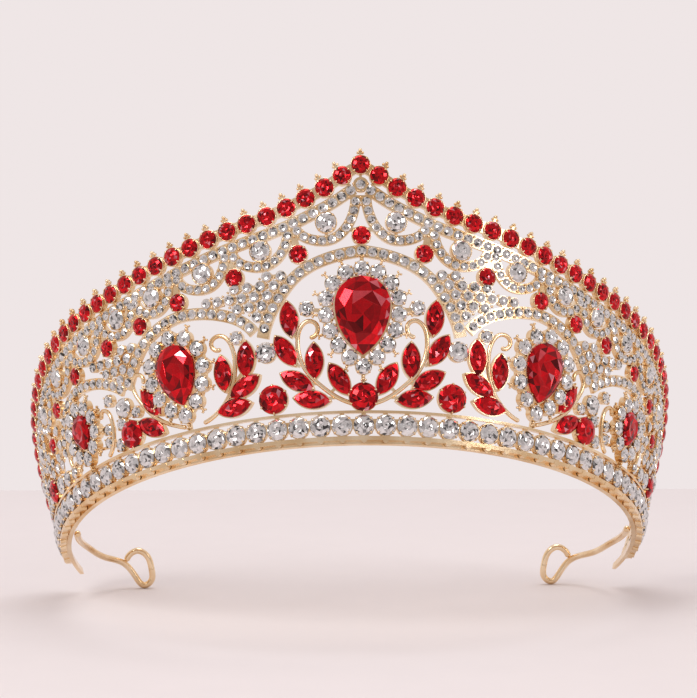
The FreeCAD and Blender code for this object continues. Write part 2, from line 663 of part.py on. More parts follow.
def pear_stone(pear):
    """The medallion's pear-shaped crystal."""
    w, t = pear["width"], pear["height"]
    girdle = pear_wire(w, t)
    waist = pear_wire(w, t, 0, 0.07 * w)
    table = pear_wire(w, t, -0.19 * w, 0.25 * w)
    return placed(cut_stone(girdle, waist, table), *pear["at"], RAISE - 0.2, -pear["turn"])


def medallions():
    """Five medallions with their pears and halos."""
    pins = [((0, 32.0), (0, 35.4)), ((0, 6.5), (0, 12.8)),
            ((-11.2, 24.4), (-7.0, 23.6)), ((7.0, 23.6), (11.2, 24.4))]
    one("centre_medallion_setting", medallion(CENTRE_PEAR) + [bar(a, b, 0.8, -0.5, 0.2) for a, b in pins])
    side_pins = [((38.3, 22.4), (38.5, 26.0)), ((36.8, 7.4), (36.6, 3.0))]
    pair("side_medallion_setting", medallion(SIDE_PEAR) + [bar(a, b, 0.8, -0.5, 0.2) for a, b in side_pins])
    outer_pins = [((67.0, 16.5), (67.2, 20.0)), ((66.1, 5.6), (66.0, 3.0))]
    pair("outer_medallion_setting", medallion(OUTER_PEAR) + [bar(a, b, 0.8, -0.5, 0.2) for a, b in outer_pins])
    NODES["centre_pear_crystal"] = pear_stone(CENTRE_PEAR)
    group("side_pear_crystals", [pear_stone(SIDE_PEAR)])
    group("outer_pear_crystals", [pear_stone(OUTER_PEAR)])
    for node, pear in (("centre_halo_crystals", CENTRE_PEAR), ("side_halo_crystals", SIDE_PEAR),
                       ("outer_halo_crystals", OUTER_PEAR)):
        stones = [stone(*pear_spot(pear, p), HALO_STONE, RAISE) for p in halo_points(pear)]
        if pear is CENTRE_PEAR:
            NODES[node] = Part.makeCompound(stones)
        else:
            group(node, stones)


# ---------------------------------------------------------------- sprays of marquise stones
def navette_seat(at, turn):
    """Seat of one marquise stone."""
    return placed(plate(navette_wire(*NAVETTE, 0.2), METAL + SEAT), *at, -METAL, turn)


def navette_stone(at, turn):
    """One marquise crystal."""
    girdle = navette_wire(*NAVETTE)
    waist = navette_wire(*NAVETTE, 0, 0.3)
    table = navette_wire(*NAVETTE, -0.85, 1.1)
    return placed(cut_stone(girdle, waist, table), *at, SEAT, turn)


def spray(node, line, navettes, stems):
    """Scroll with marquise seats; each stem is a thin bar that ties a seat to the scroll."""
    shapes = [scroll(line)]
    shapes += [navette_seat(at, turn) for at, turn in navettes]
    shapes += [bar(a, b, 0.6) for a, b in stems]
    pair(node, shapes)


def sprays():
    """The three sprays and two small scrolls of each half."""
    spray("centre_spray", CENTRE_SCROLL, CENTRE_NAVETTES,
          [((6.5, 6.8), (4.6, 8.6)), ((10.2, 10.6), (9.4, 12.0)), ((9.2, 8.8), (12.2, 9.4)),
           ((5.6, 5.8), (9.0, 5.6)), ((12.3, 12.5), (14.2, 15.0)), ((12.3, 17.9), (13.6, 20.2))])
    spray("side_spray", SIDE_SCROLL, SIDE_NAVETTES,
          [((25.6, 11.0), (23.4, 13.4)), ((25.8, 12.2), (27.6, 12.4)), ((27.0, 7.8), (24.6, 9.4)),
           ((28.6, 6.2), (26.8, 5.9))])
    spray("outer_spray", OUTER_SCROLL, OUTER_NAVETTES,
          [((45.8, 8.8), (45.2, 10.2)), ((44.0, 7.2), (45.4, 6.2))])
    spray("leaf_scroll", LEAF_SCROLL, [], [((56.9, 9.0), (61.5, 9.0)), ((58.0, 5.4), (61.8, 5.8))])
    spray("end_scroll", END_SCROLL, [], [((75.1, 9.4), (76.4, 9.6)), ((74.6, 6.2), (71.2, 7.4))])
    stones = [navette_stone(*n) for n in CENTRE_NAVETTES + SIDE_NAVETTES + OUTER_NAVETTES]
    group("navette_crystals", stones)


# ---------------------------------------------------------------- single stones and the end panels
def accents():
    """Round red stones on the base rail and single clear stones, each in its own cup."""
    for node, spots in (("round_red", RED_ROUNDS), ("accent", ACCENTS)):
        right = [spot for spot in spots if spot[0] > 0]
        middle = [spot for spot in spots if spot[0] == 0]
        cups = [disc(s, h, d + 2 * CUP_RIM) for s, h, d in right]
        group(node + "_cups", cups, [disc(s, h, d + 2 * CUP_RIM) for s, h, d in middle])
        group(node + "_crystals", [stone(*spot) for spot in right], [stone(*spot) for spot in middle])


def end_panel():
    """Openwork between the outer arch and the end, under the last garlands."""
    shapes = [disc(s, h, LATTICE_STONE + 0.5) for s, h in END_STONES]
    for k, place in enumerate(END_STONES[1:], 1):
        near = min(END_STONES[:k], key=lambda p: math.hypot(p[0] - place[0], p[1] - place[1]))
        shapes.append(bar(place, near, 1.2, 0.25 - METAL, -0.15 - 0.02 * k))
    for k, (a, b) in enumerate(END_LINKS):
        shapes.append(bar(a, b, 1.3, 0.35 - METAL, -0.1 - 0.03 * k))
    pair("end_panel", shapes)
    group("end_panel_crystals", [stone(s, h, LATTICE_STONE) for s, h in END_STONES])


# ---------------------------------------------------------------- the whole crown
def leaned(shape):
    """Turns a shape from the ring's own axis to the worn lean."""
    shape = shape.copy()
    shape.rotate(Vector(0, 0, 0), Vector(1, 0, 0), -LEAN)
    return shape


def main():
    headband()
    base()
    end_wire()
    border()
    swags()
    lattices(*arches())
    medallions()
    sprays()
    accents()
    end_panel()
    for node in NODES:
        NODES[node] = leaned(NODES[node])
    boxes = [shape.optimalBoundingBox(False, False) for shape in NODES.values()]
    low, high = min(b.ZMin for b in boxes), max(b.ZMax for b in boxes)
    front, back = min(b.YMin for b in boxes), max(b.YMax for b in boxes)
    shift = Vector(0, -(front + back) / 2, -low)
    os.makedirs("parts", exist_ok=True)
    for node, shape in NODES.items():
        shape.translate(shift)
        shape.exportStep("parts/" + node + ".step")
        print(node, len(shape.Solids), shape.isValid(), round(shape.Volume, 1))
    print("nodes", len(NODES), "ring centre", shift, "height", high - low, "depth", back - front)


main()
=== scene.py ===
"""Crown of gilt castings, gilt wire and foil-backed glass stones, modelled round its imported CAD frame.

Laid out as an add-on and run as a script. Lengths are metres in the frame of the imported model.
"""

import json
import math
import random
from collections import namedtuple

import bmesh
import bpy
import numpy as np
from mathutils import Matrix, Vector


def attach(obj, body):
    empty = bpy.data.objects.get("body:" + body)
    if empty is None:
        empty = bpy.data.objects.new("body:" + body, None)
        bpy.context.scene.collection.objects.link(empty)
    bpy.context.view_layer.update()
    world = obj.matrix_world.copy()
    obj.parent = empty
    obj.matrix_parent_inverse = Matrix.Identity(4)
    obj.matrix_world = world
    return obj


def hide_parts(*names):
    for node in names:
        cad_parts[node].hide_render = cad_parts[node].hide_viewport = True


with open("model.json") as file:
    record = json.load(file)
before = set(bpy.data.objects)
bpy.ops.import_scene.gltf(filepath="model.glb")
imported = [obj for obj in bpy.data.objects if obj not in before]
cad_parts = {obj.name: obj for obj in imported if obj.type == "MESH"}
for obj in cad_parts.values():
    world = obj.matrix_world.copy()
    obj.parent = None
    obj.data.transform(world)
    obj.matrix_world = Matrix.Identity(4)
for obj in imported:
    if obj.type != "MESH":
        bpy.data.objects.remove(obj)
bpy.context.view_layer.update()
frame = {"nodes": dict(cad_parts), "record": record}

bl_info = {
    "name": "Rhinestone Crown",
    "version": (1, 0, 0),
    "blender": (4, 5, 0),
    "location": "View3D > Sidebar > Crown",
    "description": "Models the stones, settings and finishes of a rhinestone crown",
    "category": "Add Mesh",
}

MM = 0.001
MOUNTS = {mount["name"]: mount for mount in frame["record"]["mounts"]}
RING = Vector(MOUNTS["head_seat"]["pos_m"])  # middle of the ring that the base row makes
AXIS = Vector(MOUNTS["head_seat"]["axis"]).normalized()
FLARE = math.radians(15.5)  # the wall leans outward from that axis
WELD = 1e-6  # corners nearer than this are one
RIM_DEPTH = 2e-5  # a stone's girdle lies within this of its seat
OUT_OF_ROUND = 1.05  # a stone whose girdle's radii differ by more than this ratio is a fancy shape

ROUND_RED = ("border_crystals", "junction_crystals", "round_red_crystals")
HALOS = ("centre_halo_crystals", "side_halo_crystals", "outer_halo_crystals")
ROUND_CLEAR = ("base_row_crystals", "swag_drop_crystals", *HALOS, "accent_crystals")
SMALL_CLEAR = ("border_pave_crystals", "swag_pave_crystals", "arch_pave_crystals", "lattice_crystals",
               "end_panel_crystals")
PEARS = ("centre_pear_crystal", "side_pear_crystals", "outer_pear_crystals")
NAVETTES = ("navette_crystals",)
WIRES = ("end_wire_left", "end_wire_right")

Spot = namedtuple("Spot", "at turn width angles radii tip")


def linear(hex_colour, alpha=1.0):
    """Turns an sRGB hex colour into the linear one that shaders take."""
    parts = [int(hex_colour[i:i + 2], 16) / 255 for i in (1, 3, 5)]
    return tuple(p / 12.92 if p <= 0.04045 else ((p + 0.055) / 1.055) ** 2.4 for p in parts) + (alpha,)


# ---------------------------------------------------------------- settings
def colour_setting(name, description, hex_colour):
    """A colour in the sidebar, given as its sRGB hex value."""
    return bpy.props.FloatVectorProperty(
        name=name, description=description, default=linear(hex_colour), size=4, subtype="COLOR", min=0, max=1)


class StoneSettings(bpy.types.PropertyGroup):
    """Sizes and colours of the glass stones."""

    # the seed also picks which facets get painted shade and which get painted glints
    seed: bpy.props.IntProperty(
        name="Seed", description="Start of the random turns and facet shades", default=11)
    clear: colour_setting("Clear stones", "Tint of the clear stones", "#F7F4F2")
    red: colour_setting("Red stones", "Main colour of the red stones", "#DA0415")
    # the dark facets are painted shade in the stones' colour; no light or facing makes them dark
    painted_dark_share: bpy.props.FloatProperty(
        name="Dark facets", description="Share of the foil's facets that face away from the light",
        default=0.24, subtype="FACTOR", min=0, max=1)


class MetalSettings(bpy.types.PropertyGroup):
    """Sizes and colours of the gilt metal."""

    gold: colour_setting("Plating", "Colour of the champagne gold plating", "#F8E1BE")
    bead: bpy.props.FloatProperty(
        name="Bead", description="Diameter of the beads that hold the pave",
        default=0.56 * MM, unit="LENGTH")
    claw: bpy.props.FloatProperty(
        name="Claw", description="Thickness of the claws on the single stones",
        default=0.44 * MM, unit="LENGTH")


class StageSettings(bpy.types.PropertyGroup):
    """Floor, backdrop and light."""

    floor: colour_setting("Floor", "Colour of the floor", "#E3DCDC")
    backdrop: colour_setting("Backdrop", "Colour behind the floor's far edge", "#F1E8E8")
    room: bpy.props.FloatProperty(
        name="Room", description="Brightness of the room in front of the crown, next to the backdrop's",
        default=0.62, subtype="FACTOR", min=0, max=1)
    lens: bpy.props.FloatProperty(name="Lens", description="Focal length on a 36 mm sensor", default=113.6,
                                  unit="CAMERA")


# ---------------------------------------------------------------- places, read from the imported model
def wall_axes(point):
    """Directions across, up and out of the wall near a point, as a matrix's columns."""
    out = point - RING
    out = (out - AXIS * out.dot(AXIS)).normalized()
    up = out * math.sin(FLARE) + AXIS * math.cos(FLARE)
    face = out * math.cos(FLARE) - AXIS * math.sin(FLARE)
    return Matrix((AXIS.cross(out), up, face)).transposed()


def islands(node):
    """Points of each separate solid in a CAD node, in a fixed order."""
    shell = bmesh.new()
    shell.from_mesh(frame["nodes"][node].data)
    bmesh.ops.remove_doubles(shell, verts=shell.verts, dist=WELD)
    shell.verts.index_update()
    seen = [False] * len(shell.verts)
    found = []
    for start in shell.verts:
        if seen[start.index]:
            continue
        seen[start.index] = True
        queue, points = [start], []
        while queue:
            vert = queue.pop()
            points.append(vert.co.copy())
            for edge in vert.link_edges:
                other = edge.other_vert(vert)
                if not seen[other.index]:
                    seen[other.index] = True
                    queue.append(other)
        found.append(np.array(points))
    shell.free()
    return found


def spot_of(points):
    """Where a CAD stone sits: the middle of its girdle, the wall's directions there, and its outline."""
    middle = Vector(points.mean(axis=0))
    for _ in range(3):
        turn = wall_axes(middle)
        local = (points - np.array(middle)) @ np.array(turn)
        base = local[:, 2].min()
        rim = local[local[:, 2] < base + RIM_DEPTH]
        low, high = rim[:, :2].min(axis=0), rim[:, :2].max(axis=0)
        middle = middle + turn @ Vector(((low[0] + high[0]) / 2, (low[1] + high[1]) / 2, base))
    local = (points - np.array(middle)) @ np.array(turn)
    rim = local[local[:, 2] < local[:, 2].min() + RIM_DEPTH]
    angles, radii = np.arctan2(rim[:, 1], rim[:, 0]), np.hypot(rim[:, 0], rim[:, 1])
    order = np.argsort(angles)
    centroid = rim[:, :2].mean(axis=0)
    far = np.argmax(np.hypot(*(rim[:, :2] - centroid).T))
    width = 2 * (radii.min() if radii.max() > OUT_OF_ROUND * radii.min() else radii.max())
    return Spot(middle, turn, width, angles[order], radii[order], math.atan2(rim[far, 1], rim[far, 0]))


SPOTS = {}


def spots(node):
    """Spots of all the stones in a CAD node."""
    if node not in SPOTS:
        SPOTS[node] = [spot_of(points) for points in islands(node)]
    return SPOTS[node]


# ---------------------------------------------------------------- modelling by hand
def deselect():
    """Leaves object mode with nothing selected."""
    if bpy.context.object and bpy.context.object.mode != "OBJECT":
        bpy.ops.object.mode_set(mode="OBJECT")
    bpy.ops.object.select_all(action="DESELECT")


def facetted(name, levels, closed=False):
    """Models a cut or turned form out of circles, each bridged to the next.

    Each level is (corners, radius, height, turn, shift). A closed form's last circle is bridged to its first.
    """
    deselect()
    rings, count = [], 0
    for corners, radius, height, turn, shift in levels:
        turned = {"vertices": corners, "radius": radius, "location": (shift, 0, height),
                  "rotation": (0, 0, turn)}
        if rings:
            bpy.ops.mesh.select_all(action="DESELECT")
            bpy.ops.mesh.primitive_circle_add(**turned)
            pick(range(rings[-1][0], count + corners))
            bpy.ops.mesh.bridge_edge_loops()
        else:
            bpy.ops.mesh.primitive_circle_add(**turned)
            bpy.ops.object.mode_set(mode="EDIT")
        rings.append((count, count + corners))
        count += corners
    ends = [range(*rings[0]), range(*rings[-1])]
    if closed:
        pick([*ends[0], *ends[1]])
        bpy.ops.mesh.bridge_edge_loops()
    else:
        for end in ends:
            pick(end)
            bpy.ops.mesh.edge_face_add()
    bpy.ops.mesh.select_all(action="SELECT")
    bpy.ops.mesh.normals_make_consistent(inside=False)
    bpy.ops.object.mode_set(mode="OBJECT")
    bpy.ops.object.transform_apply(location=True, rotation=True, scale=True)
    form = bpy.context.object
    form.name = name
    return form


def pick(wanted):
    """Selects corners of the mesh in hand by number, and nothing else."""
    bpy.ops.mesh.select_all(action="DESELECT")
    mesh = bmesh.from_edit_mesh(bpy.context.object.data)
    mesh.verts.ensure_lookup_table()
    for i in wanted:
        mesh.verts[i].select_set(True)
    mesh.select_flush(True)
    bmesh.update_edit_mesh(bpy.context.object.data)


def joined(name, parts):
    """Joins objects into one, at the origin."""
    deselect()
    for part in parts:
        part.select_set(True)
    bpy.context.view_layer.objects.active = parts[0]
    if len(parts) > 1:
        bpy.ops.object.join()
    whole = bpy.context.object
    whole.name = whole.data.name = name
    return whole


def copied(form):
    """A copy of a template with a mesh of its own."""
    part = form.copy()
    part.data = form.data.copy()
    bpy.context.scene.collection.objects.link(part)
    return part


def set_on(form, matrix):
    """A copy of a template put in its place."""
    part = copied(form)
    part.data.transform(matrix)
    return part


def shown(parts):
    """The same parts, made visible: their templates are hidden."""
    for part in parts:
        part.hide_render = False
    return parts


def placed(spot, x=0.0, y=0.0, z=0.0, turn=0.0, scale=1.0):
    """Matrix that sets a template on the wall, x across, y up and z out from a stone's middle."""
    at = spot.at + spot.turn @ Vector((x, y, z))
    spin = Matrix.Rotation(turn, 4, "Z") @ Matrix.Scale(scale, 4)
    return Matrix.Translation(at) @ spot.turn.to_4x4() @ spin


def finished(piece, slot, *nodes):
    """Attaches a piece to the root body and hides the CAD nodes that it stands for; the slot is not used."""
    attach(piece, "root")
    if nodes:
        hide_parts(*nodes)


# ---------------------------------------------------------------- materials
def add(tree, kind, links=None, **settings):
    """Adds a shader node: settings are its properties, links the values or feeds of its sockets."""
    node = tree.nodes.new(kind)
    for name, value in settings.items():
        setattr(node, name, value)
    for name, value in (links or {}).items():
        if isinstance(value, bpy.types.NodeSocket):
            tree.links.new(value, node.inputs[name])
        else:
            node.inputs[name].default_value = value
    return node


def started(name):
    """A material with an empty tree."""
    material = bpy.data.materials.new(name)
    material.use_nodes = True
    material.node_tree.nodes.clear()
    return material, material.node_tree


def per(millimetres):
    """Noise scale that makes features of that size."""
    return 1 / (millimetres * MM)


def noise(tree, where, size, detail):
    """Noise with features of that size in millimetres."""
    return add(tree, "ShaderNodeTexNoise", {
        "Vector": where, "Scale": per(size), "Detail": detail}).outputs["Fac"]


DRIFT = 7.0  # size of the patches in which the gold's colour drifts, in mm
WARM = (0.8, 0.66, 0.48)  # red, green and blue left in the warmest patches


def gilt(name, colour, grain, rough, relief):
    """Light gold plating: metal with soft colour drift, a grain of its making and roughness to match."""
    material, tree = started(name)
    where = add(tree, "ShaderNodeTexCoord").outputs["Object"]
    drift = noise(tree, where, DRIFT, 2.0)
    fine = noise(tree, where, grain, 4.0)
    warm = tuple(c * f for c, f in zip(colour[:3], WARM)) + (1,)
    tone = add(tree, "ShaderNodeMix", data_type="RGBA")
    shade = add(tree, "ShaderNodeMapRange", {"Value": drift, "From Min": 0.35, "From Max": 0.7})
    tree.links.new(shade.outputs["Result"], tone.inputs[0])
    tone.inputs[6].default_value, tone.inputs[7].default_value = colour, warm
    gloss = add(tree, "ShaderNodeMapRange", {"Value": fine, "To Min": rough[0], "To Max": rough[1]})
    bump = add(tree, "ShaderNodeBump", {"Height": fine, "Strength": 0.5, "Distance": relief * MM})
    shader = add(tree, "ShaderNodeBsdfPrincipled", {
        "Base Color": tone.outputs[2], "Metallic": 1.0, "Roughness": gloss.outputs["Result"],
        "Normal": bump.outputs["Normal"]})
    add(tree, "ShaderNodeOutputMaterial", {"Surface": shader.outputs["BSDF"]})
    return material


def crystal(name, colour, shades, flash, metallic):
    """Foil-backed cut glass: each facet's colour is a painted reflection of the mirror behind it, from
    painted shade to painted glint, under a clear skin.

    Shades are (place on the ramp, share of the colour) for the painted facet shades, and flash is the colour
    of the painted glints on the brightest facets.
    """
    material, tree = started(name)
    # the facet attribute places each facet on the ramp: painted shade at the low end, painted glints at the
    # top
    shade = add(tree, "ShaderNodeAttribute", attribute_name="facet").outputs["Fac"]
    ramp = add(tree, "ShaderNodeValToRGB", {"Fac": shade})
    points = ramp.color_ramp.elements
    points[0].position, points[0].color = 0.0, tuple(c * shades[0][1] for c in colour[:3]) + (1,)
    points[1].position, points[1].color = 1.0, linear(flash)
    for place, factor in shades[1:]:
        points.new(place).color = tuple(min(1, c * factor) for c in colour[:3]) + (1,)
    where = add(tree, "ShaderNodeTexCoord").outputs["Object"]
    haze = noise(tree, where, 0.9, 2.0)
    depth = add(tree, "ShaderNodeMix", data_type="RGBA", blend_type="MULTIPLY")
    depth.inputs[0].default_value = 0.5
    tree.links.new(ramp.outputs["Color"], depth.inputs[6])
    tree.links.new(haze, depth.inputs[7])
    gloss = add(tree, "ShaderNodeMapRange", {"Value": haze, "To Min": 0.03, "To Max": 0.16})
    shader = add(tree, "ShaderNodeBsdfPrincipled", {
        "Base Color": depth.outputs[2], "Metallic": metallic, "Roughness": gloss.outputs["Result"],
        "Coat Weight": 0.25, "Coat Roughness": 0.02})
    add(tree, "ShaderNodeOutputMaterial", {"Surface": shader.outputs["BSDF"]})
    return material


def stage_matte(name, colour, grain, contrast):
    """Matte stage surface with a faint mottle."""
    material, tree = started(name)
    where = add(tree, "ShaderNodeTexCoord").outputs["Object"]
    mottle = noise(tree, where, grain, 3.0)
    tone = add(tree, "ShaderNodeMix", data_type="RGBA")
    tree.links.new(mottle, tone.inputs[0])
    tone.inputs[6].default_value = tuple(c * (1 - contrast) for c in colour[:3]) + (1,)
    tone.inputs[7].default_value = tuple(min(1, c * (1 + contrast)) for c in colour[:3]) + (1,)
    shader = add(tree, "ShaderNodeBsdfPrincipled", {"Base Color": tone.outputs[2], "Roughness": 0.85})
    add(tree, "ShaderNodeOutputMaterial", {"Surface": shader.outputs["BSDF"]})
    return material


MATERIALS = {}


class CROWN_OT_finishes(bpy.types.Operator):
    """Make the materials of the crown"""

    bl_idname = "crown.finishes"
    bl_label = "Finishes"

    def execute(self, context):
        stones, metal = context.scene.crown_stones, context.scene.crown_metal
        gold = tuple(metal.gold)
        # zinc alloy, spin cast and plated champagne gold: bright, with a faint cast grain
        MATERIALS["cast"] = gilt("gilt_zinc_alloy_casting", gold, 0.5, (0.14, 0.3), 0.02)
        # brass wire, drawn and plated: smoother and more even
        MATERIALS["wire"] = gilt("gilt_drawn_brass_wire", gold, 1.2, (0.1, 0.2), 0.008)
        # rolled brass strip, plated: smooth, slightly hammered by the bending
        MATERIALS["strip"] = gilt("gilt_rolled_brass_strip", gold, 1.6, (0.12, 0.24), 0.012)
        # lead-free crystal glass, machine cut, silvered and lacquered on the back
        # its facets carry painted reflections, from painted shade to painted white glints
        MATERIALS["clear"] = crystal("clear_foiled_crystal", tuple(stones.clear), [
            (0.0, 0.06), (0.15, 0.3), (0.32, 0.76), (0.5, 1.0), (0.8, 1.08)], "#FFFFFF", 0.85)
        # the same glass, coloured siam red through and through
        # its facets carry painted reflections, from painted shade to painted pink glints
        MATERIALS["red"] = crystal("siam_red_foiled_crystal", tuple(stones.red), [
            (0.0, 0.14), (0.25, 0.42), (0.5, 0.9), (0.75, 1.15), (0.95, 1.5)], "#F0A0AC", 0.86)
        return {"FINISHED"}


# ---------------------------------------------------------------- templates
TEMPLATES = {}
TURN_8 = math.pi / 8
TURN_16 = math.pi / 16


def stone_form(name, crown, kind):
    """A facetted stone one unit wide."""
    body = facetted(name, crown)
    body.data.materials.append(MATERIALS[kind])
    body.hide_render = True
    return body


def level(corners, radius, height, turn=0.0, shift=0.0):
    """One circle of a form that is one unit wide."""
    return corners, radius, height, turn, shift


class CROWN_OT_templates(bpy.types.Operator):
    """Model each repeated form once: the cuts of stone, the bead, the claw and the cup"""

    bl_idname = "crown.templates"
    bl_label = "Templates"

    def execute(self, context):
        brilliant = [level(16, 0.46, -0.02), level(16, 0.5, 0.02), level(16, 0.5, 0.05),
                     level(16, 0.4, 0.14, TURN_16), level(8, 0.25, 0.2), level(8, 0.15, 0.17, TURN_8),
                     level(8, 0.05, 0.2)]
        small = [level(8, 0.5, 0.0), level(8, 0.5, 0.07), level(8, 0.31, 0.2, TURN_8), level(4, 0.1, 0.16)]
        grand = [level(32, 0.48, 0.0), level(32, 0.5, 0.012), level(32, 0.5, 0.05),
                 level(16, 0.43, 0.11, TURN_16), level(8, 0.33, 0.17, TURN_8), level(8, 0.21, 0.15),
                 level(8, 0.02, 0.165, TURN_8)]
        for kind in ("clear", "red"):
            TEMPLATES[kind + "_round"] = stone_form(kind + "_round", brilliant, kind)
        TEMPLATES["clear_small"] = stone_form("clear_small", small, "clear")
        TEMPLATES["red_grand"] = stone_form("red_grand", grand, "red")
        bead = [level(6, 0.5, -0.6), level(6, 0.5, 0.2), level(6, 0.36, 0.45), level(6, 0.14, 0.58)]
        claw = [level(6, 0.5, -0.8, 0, 0.25), level(6, 0.5, 0.3, 0, 0.2), level(6, 0.46, 0.85, 0, 0.0),
                level(6, 0.34, 1.15, 0, -0.35), level(6, 0.14, 1.2, 0, -0.6)]
        cup = [level(20, 0.5, -0.12), level(20, 0.545, -0.1), level(20, 0.55, 0.03), level(20, 0.525, 0.06),
               level(20, 0.5, 0.05)]
        for name, levels, closed in (("bead", bead, False), ("claw", claw, False), ("cup", cup, True)):
            form = facetted(name, levels, closed)
            form.data.materials.append(MATERIALS["cast"])
            for face in form.data.polygons:
                face.use_smooth = True
            form.hide_render = True
            TEMPLATES[name] = form
        return {"FINISHED"}


# ---------------------------------------------------------------- stones
# painted shade fills the ramp's low end, painted glints the rest
PAINTED_DARK_END = 0.35  # the dark facets take the ramp up to here, the others the rest of it


def paint_facet_light(part, chance, painted_dark_share):
    """Paints each facet of a stone its own brightness, painted shade or painted glint, that does not follow
    the light.
    """
    layer = part.data.attributes.new("facet", "FLOAT", "FACE")
    values = [chance.random() * PAINTED_DARK_END if chance.random() < painted_dark_share
              else PAINTED_DARK_END + (1 - PAINTED_DARK_END) * chance.random() for _ in part.data.polygons]
    layer.data.foreach_set("value", values)


def fitted(part, spot, turn, full):
    """Stretches a round template to a stone's outline and sets it on the wall."""
    mesh = part.data
    points = np.zeros(len(mesh.vertices) * 3)
    mesh.vertices.foreach_get("co", points)
    points = points.reshape(-1, 3)
    angle = np.arctan2(points[:, 1], points[:, 0]) + turn
    outline = np.interp(angle, spot.angles, spot.radii, period=2 * math.pi)
    reach = 2 * np.hypot(points[:, 0], points[:, 1]) * outline * full
    local = np.column_stack((reach * np.cos(angle), reach * np.sin(angle), points[:, 2] * spot.width))
    placed_points = local @ np.array(spot.turn).T + np.array(spot.at)
    mesh.vertices.foreach_set("co", placed_points.ravel())
    mesh.update()


# how far these stones spread over their seats
FULL = {"base_row_crystals": 1.01, "centre_halo_crystals": 1.12, "side_halo_crystals": 1.12,
        "outer_halo_crystals": 1.12, "accent_crystals": 1.06, "round_red_crystals": 1.04}


def cut_stones(node, template, slot, chance, painted_dark_share, random_turn):
    """Stones of one CAD node, each a copy of the template with its own facets."""
    parts = []
    for spot in spots(node):
        part = copied(TEMPLATES[template])
        part.hide_render = False
        turn = chance.random() * math.pi if random_turn else spot.tip
        fitted(part, spot, turn, FULL.get(node, 1.0))
        # painted shade and painted glints, facet by facet
        paint_facet_light(part, chance, painted_dark_share)
        parts.append(part)
    whole = joined(node.replace("crystal", "cut_stone"), parts)
    finished(whole, slot, node)
    return whole


class CROWN_OT_stones(bpy.types.Operator):
    """Cut and set every stone of the crown"""

    bl_idname = "crown.stones"
    bl_label = "Stones"

    def execute(self, context):
        settings = context.scene.crown_stones
        chance = random.Random(settings.seed)
        share = settings.painted_dark_share
        for node in SMALL_CLEAR:
            cut_stones(node, "clear_small", "clear_crystal", chance, share, True)
        for node in ROUND_CLEAR:
            cut_stones(node, "clear_round", "clear_crystal", chance, share, True)
        for node in ROUND_RED:
            cut_stones(node, "red_round", "red_crystal", chance, share, True)
        for node in NAVETTES:
            cut_stones(node, "red_round", "red_crystal", chance, share, False)
        for node in PEARS:
            cut_stones(node, "red_grand", "red_crystal", chance, share, False)
        return {"FINISHED"}


# ---------------------------------------------------------------- beads, claws and tips
BEAD_REACH = 2.75 * MM  # pave stones nearer than this share a pair of beads
BEAD_SIDE = 0.86  # how far to each side of their line the beads stand, in stone radii
BEAD_CLEAR = 0.47  # a bead's middle stays this far from every stone's, in stone widths
BEAD_APART = 0.9  # and this far from every other bead's, in bead widths
BEAD_RISE = 0.1 * MM  # above the stones' seats


class CROWN_OT_beads(bpy.types.Operator):
    """Raise the beads that hold the pave stones, two between each stone and the next"""

    bl_idname = "crown.beads"
    bl_label = "Pave beads"

    def execute(self, context):
        size = context.scene.crown_metal.bead
        for node in SMALL_CLEAR:
            stones = spots(node)
            parts, taken = [], []
            for i, one in enumerate(stones):
                for other in stones[i + 1:]:
                    gap = other.at - one.at
                    if gap.length > BEAD_REACH:
                        continue
                    local = one.turn.transposed() @ gap
                    side = Vector((-local.y, local.x, 0)).normalized() * (one.width / 2 * BEAD_SIDE)
                    for sign in (1, -1):
                        at = local / 2 + side * sign
                        place = one.at + one.turn @ at
                        if any((place - spot.at).length < spot.width * BEAD_CLEAR for spot in stones):
                            continue
                        if any((place - other_bead).length < size * BEAD_APART for other_bead in taken):
                            continue
                        taken.append(place)
                        seat = placed(one, at.x, at.y, at.z + BEAD_RISE, 0, size)
                        parts.append(set_on(TEMPLATES["bead"], seat))
            finished(joined(node.replace("crystals", "beads"), shown(parts)), "gilt_alloy")
        return {"FINISHED"}


# claws round each stone of a node
CLAWED = {"base_row_crystals": 4, "swag_drop_crystals": 4, "junction_crystals": 4,
          "centre_halo_crystals": 4, "side_halo_crystals": 4, "outer_halo_crystals": 4,
          "accent_crystals": 4, "round_red_crystals": 6, "border_crystals": 4}
CUPPED = ("swag_drop_crystals", "junction_crystals", "border_crystals")
CLAW_INSET = 0.1 * MM  # the claws of a marquise stand this far inside its points


class CROWN_OT_claws(bpy.types.Operator):
    """Bend the claws over the edges of the round and marquise stones, and put a cup round each stone of the
    swag drops, junctions and border
    """

    bl_idname = "crown.claws"
    bl_label = "Claws and cups"

    def execute(self, context):
        size = context.scene.crown_metal.claw
        for node, count in CLAWED.items():
            parts = []
            for spot in spots(node):
                if node in CUPPED:
                    parts.append(set_on(TEMPLATES["cup"], placed(spot, scale=spot.width)))
                for k in range(count):
                    angle = 2 * math.pi * (k + 0.5) / count
                    reach = spot.width / 2 * FULL.get(node, 1.0)
                    x, y = math.cos(angle) * reach, math.sin(angle) * reach
                    parts.append(set_on(TEMPLATES["claw"], placed(spot, x, y, 0.0, angle, size)))
            finished(joined(node.replace("crystals", "claws"), shown(parts)), "gilt_alloy")
        for node in NAVETTES:
            parts = []
            for spot in spots(node):
                for angle in (spot.tip, spot.tip + math.pi):
                    reach = np.interp(angle, spot.angles, spot.radii, period=2 * math.pi) - CLAW_INSET
                    x, y = math.cos(angle) * reach, math.sin(angle) * reach
                    parts.append(set_on(TEMPLATES["claw"], placed(spot, x, y, 0.0, angle, size)))
            finished(joined(node.replace("crystals", "claws"), shown(parts)), "gilt_alloy")
        return {"FINISHED"}


# beads of a little forked tip: across and beyond the stone's middle, and size, in mm
BORDER_TIP = ((0.0, 3.15, 0.8), (-0.5, 2.6, 0.62), (0.5, 2.6, 0.62))
HALO_TIP = ((0.0, 2.0, 0.7), (0.0, 2.5, 0.6), (-0.42, 2.75, 0.5), (0.42, 2.75, 0.5))
TIP_DEPTH = -0.32 * MM


